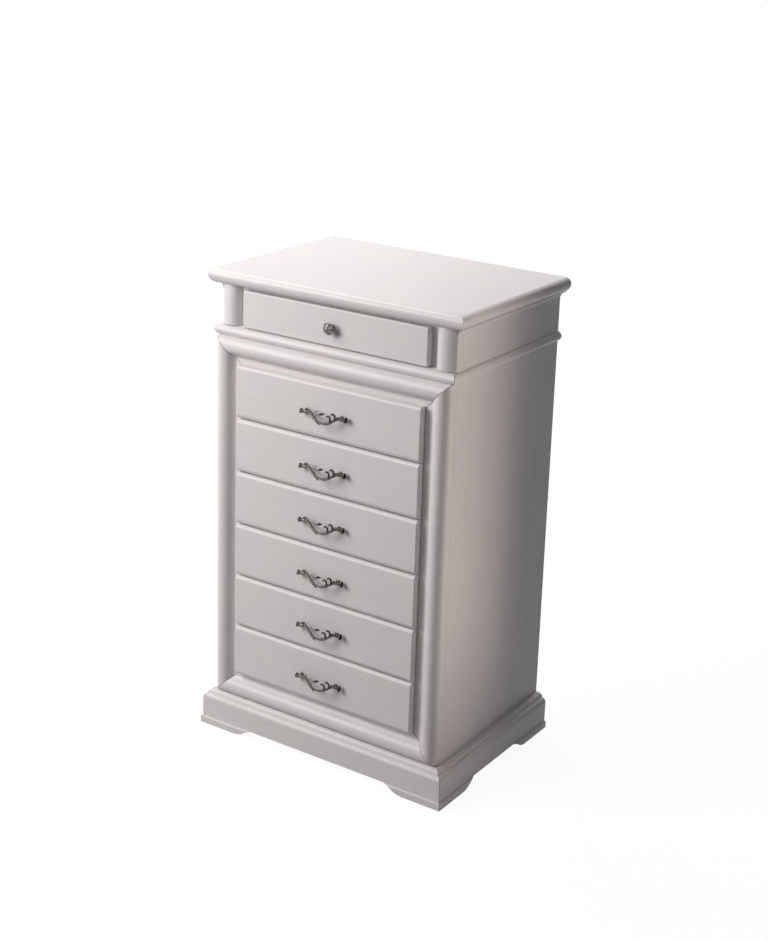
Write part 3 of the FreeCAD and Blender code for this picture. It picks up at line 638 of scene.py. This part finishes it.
def pan_head():
    """A screw's domed head, cut by a slot, which stands out backwards from the wood."""
    cast = Casting()
    dome = [(0, 0, 0.5), (0, 3.9, 0.5), (-0.9, 4.0, 0.8), (-1.5, 3.7, 0.9), (-1.6, 0, 0.5)]
    cast.turned((0, 0, 0), FORWARD, dome)
    radius, height, slot_half, rounding = 3.6, 2.4, 0.55, 0.25
    slot_floor, top_share, steps = 1.4, 0.9, 12
    limit = math.acos(slot_half / radius)
    for way in (-1, 1):
        outline = []
        for step in range(steps + 1):
            angle = -limit + limit * 2 * step / steps
            outline.append((math.sin(angle) * radius, way * math.cos(angle) * radius))
        slot_z = way * slot_half
        low = [(Vector((x, -slot_floor, z)), 0.5) for x, z in outline]
        edge = [(Vector((x, -height + rounding, z)), 0.9) for x, z in outline]
        top = []
        for x, z in outline:
            place = Vector((x * top_share, -height, (z - slot_z) * top_share + slot_z))
            top.append((place, 1.0))
        middle = [(Vector((0, -height, way * 2.0)), 1.0)]
        cast.loft([low, edge, top, middle])
    return cast.finish("pan_head")


def set_piece(name, mesh, at, body, material):
    """A piece from a shared mesh, set in place and riding on a body."""
    item = add_object(name, mesh)
    if not mesh.materials:
        mesh.materials.append(material)
    item.location = at
    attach(item, body)
    return item


PULL_DROP = 2 * MM
BOX_WALL = 12 * MM
pull_mesh, knob_mesh, screw_mesh = bow_pull(), petal_knob(), pan_head()


def screw_place(body, x, z):
    """The inside of the drawer's inner front, where a screw's head sits."""
    return (x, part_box(f"{body}_front")[1].y + BOX_WALL, z)


for number in LOWER_DRAWERS:
    body = f"drawer_{number}"
    face_low, face_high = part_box(f"{body}_front")
    pull_z = (face_low.z + face_high.z) / 2 - PULL_DROP
    pull = set_piece(
        f"{body}_bow_pull", pull_mesh, (0, face_low.y, pull_z), body, PEWTER
    )
    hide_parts(f"{body}_pull")
    for side, x in (("left", -POST_X * MM), ("right", POST_X * MM)):
        at = screw_place(body, x, pull_z)
        set_piece(f"{body}_screw_{side}", screw_mesh, at, body, ZINC)
face_low, face_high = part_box("frieze_drawer_front")
knob_z = (face_low.z + face_high.z) / 2
knob = set_piece(
    "frieze_petal_knob", knob_mesh, (0, face_low.y, knob_z), "frieze_drawer", PEWTER
)
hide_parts("frieze_drawer_knob")
set_piece(
    "frieze_drawer_screw",
    screw_mesh,
    screw_place("frieze_drawer", 0, knob_z),
    "frieze_drawer",
    ZINC,
)


# ---------------------------------------------------------------- light, floor and camera


def area_light(name, at, towards, size, power, colour, spread=180):
    """A softbox, width by height, that isn't seen itself. The spread is in degrees."""
    lamp = bpy.data.lights.new(name, "AREA")
    lamp.shape = "RECTANGLE"
    lamp.size, lamp.size_y = size
    lamp.energy = power
    lamp.color = colour
    lamp.spread = math.radians(spread)
    item = add_object(name, lamp)
    item.location = at
    item.rotation_mode = "QUATERNION"
    item.rotation_quaternion = (Vector(towards) - Vector(at)).to_track_quat("-Z", "Y")
    item.visible_camera = False


WARM, NEUTRAL = (1.0, 0.85, 0.795), (1.0, 0.985, 0.975)
area_light("key", (-1.55, -2.0, 2.15), (0, -0.2, 0.85), (1.5, 1.9), 74, NEUTRAL)
area_light("over", (-0.7, 0.5, 2.4), (0, 0.0, 1.1), (1.2, 1.2), 18, NEUTRAL)
area_light("right", (1.25, 0.25, 0.88), (0.318, -0.26, 0.88), (0.12, 1.4), 0.95, WARM, 44)
area_light("back", (-0.25, 2.6, 0.9), (-0.1, 0.2, 0.6), (0.9, 1.1), 26, NEUTRAL)

WHITE = (1, 1, 1, 1)


def studio_world():
    """White where it is seen directly, and otherwise a faint light from all round."""
    s = Shader(bpy.data.worlds.new("studio"))
    faint = s.node("Background", {"Color": (0.97, 0.98, 1.0, 1), "Strength": 0.07})
    white = s.node("Background", {"Color": WHITE})
    return s.show(s.blend(s.seen_directly(), faint, white), "OutputWorld")


def floor_material():
    """Pale, and glowing a little where it is seen directly, so that it meets the white world."""
    glow_share, fade_start, fade_end = 0.66, 1.1, 2.6
    s = new_material("floor")
    place = s.place()
    speckle = s.noise(place, 30.0, 3.0)
    tone = s.mix(s.span(speckle, 0.3, 0.7), grey(0.33), grey(0.37))
    cloth = s.node("BsdfDiffuse", {"Color": tone})
    glow = s.node("Emission", {"Color": WHITE, "Strength": 1.42})
    lit = s.blend(s.math("MULTIPLY", s.seen_directly(), glow_share), cloth, glow)
    away = s.node("VectorMath", {0: place}, operation="LENGTH").outputs["Value"]
    fade = s.span(away, fade_start, fade_end)
    return s.show(s.blend(fade, lit, s.node("BsdfTransparent")))


def floor_square(reach):
    """A flat square under the middle of the chest, which reaches that far each way."""
    mesh = bpy.data.meshes.new("floor")
    corners = [(-reach, -reach, 0), (reach, -reach, 0), (reach, reach, 0), (-reach, reach, 0)]
    mesh.from_pydata(corners, [], [(0, 1, 2, 3)])
    mesh.materials.append(floor_material())
    return add_object("floor", mesh)


bpy.context.scene.world = studio_world()
floor = floor_square(3.0)

camera_data = bpy.data.cameras.new("camera")
camera = add_object("camera", camera_data)
camera.location = (2.1117, -3.1660, 2.0513)
camera.rotation_euler = (1.28205, -0.02984, 0.59644)
camera_data.sensor_width = 36
camera_data.lens = 65.212
camera_data.shift_y = -0.1064
bpy.context.scene.camera = camera
bpy.context.scene.view_settings.view_transform = "Standard"
